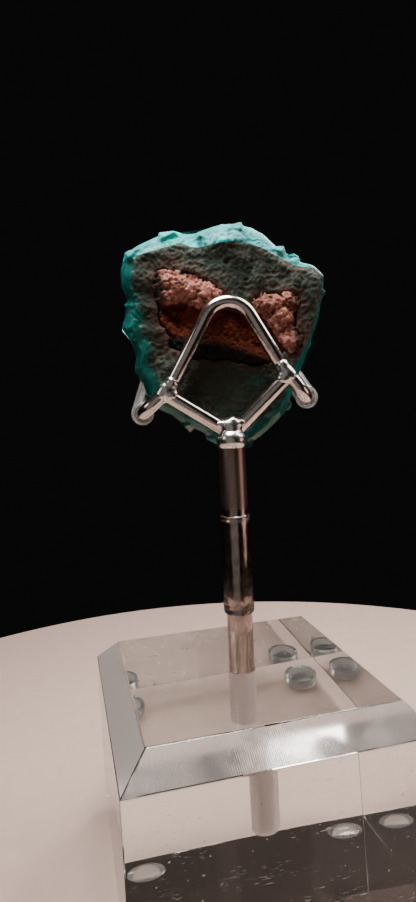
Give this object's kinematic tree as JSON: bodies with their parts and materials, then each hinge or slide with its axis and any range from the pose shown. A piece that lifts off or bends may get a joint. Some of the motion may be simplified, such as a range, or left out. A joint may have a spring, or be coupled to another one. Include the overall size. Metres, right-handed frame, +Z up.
{
  "type": "mounted dioptase specimen",
  "caption": "Dioptase crystal plate on earthy matrix, gripped by sleeved prongs of a soldered wire holder on a rod in a bevelled clear block.",
  "frame": {"origin": "on the table under the middle of the block", "axes": "+Z up along the rod, -Y towards the viewer who sees the back of the specimen, +X to that viewer's right; the display side faces +Y"},
  "size_m": [0.032, 0.032, 0.0768],
  "materials": {
    "clear_acrylic": "clear, polished, brushed on its bevels",
    "clear_feet": "clear soft dome",
    "polished_steel": "polished",
    "clear_film": "clear, wrinkled",
    "clear_sleeve": "clear soft tube, slightly milky",
    "solder": "bright, lumpy",
    "dioptase": "vitreous crystals, rough dark back",
    "earthy_matrix": "matt, crumbly"
  },
  "bodies": {
    "root": {"acrylic_base": "clear_acrylic", "foot_front_left": "clear_feet", "foot_front_right": "clear_feet", "foot_back_left": "clear_feet", "foot_back_right": "clear_feet", "rod": "polished_steel", "rod_clear_film": "clear_film", "arch_wire": "polished_steel", "left_arm_wire": "polished_steel", "left_prong_sleeve": "clear_sleeve", "right_arm_wire": "polished_steel", "right_prong_sleeve": "clear_sleeve", "rod_solder": "solder", "left_solder": "solder", "right_solder": "solder", "dioptase": "dioptase", "matrix": "earthy_matrix"}
  },
  "joints": []
}
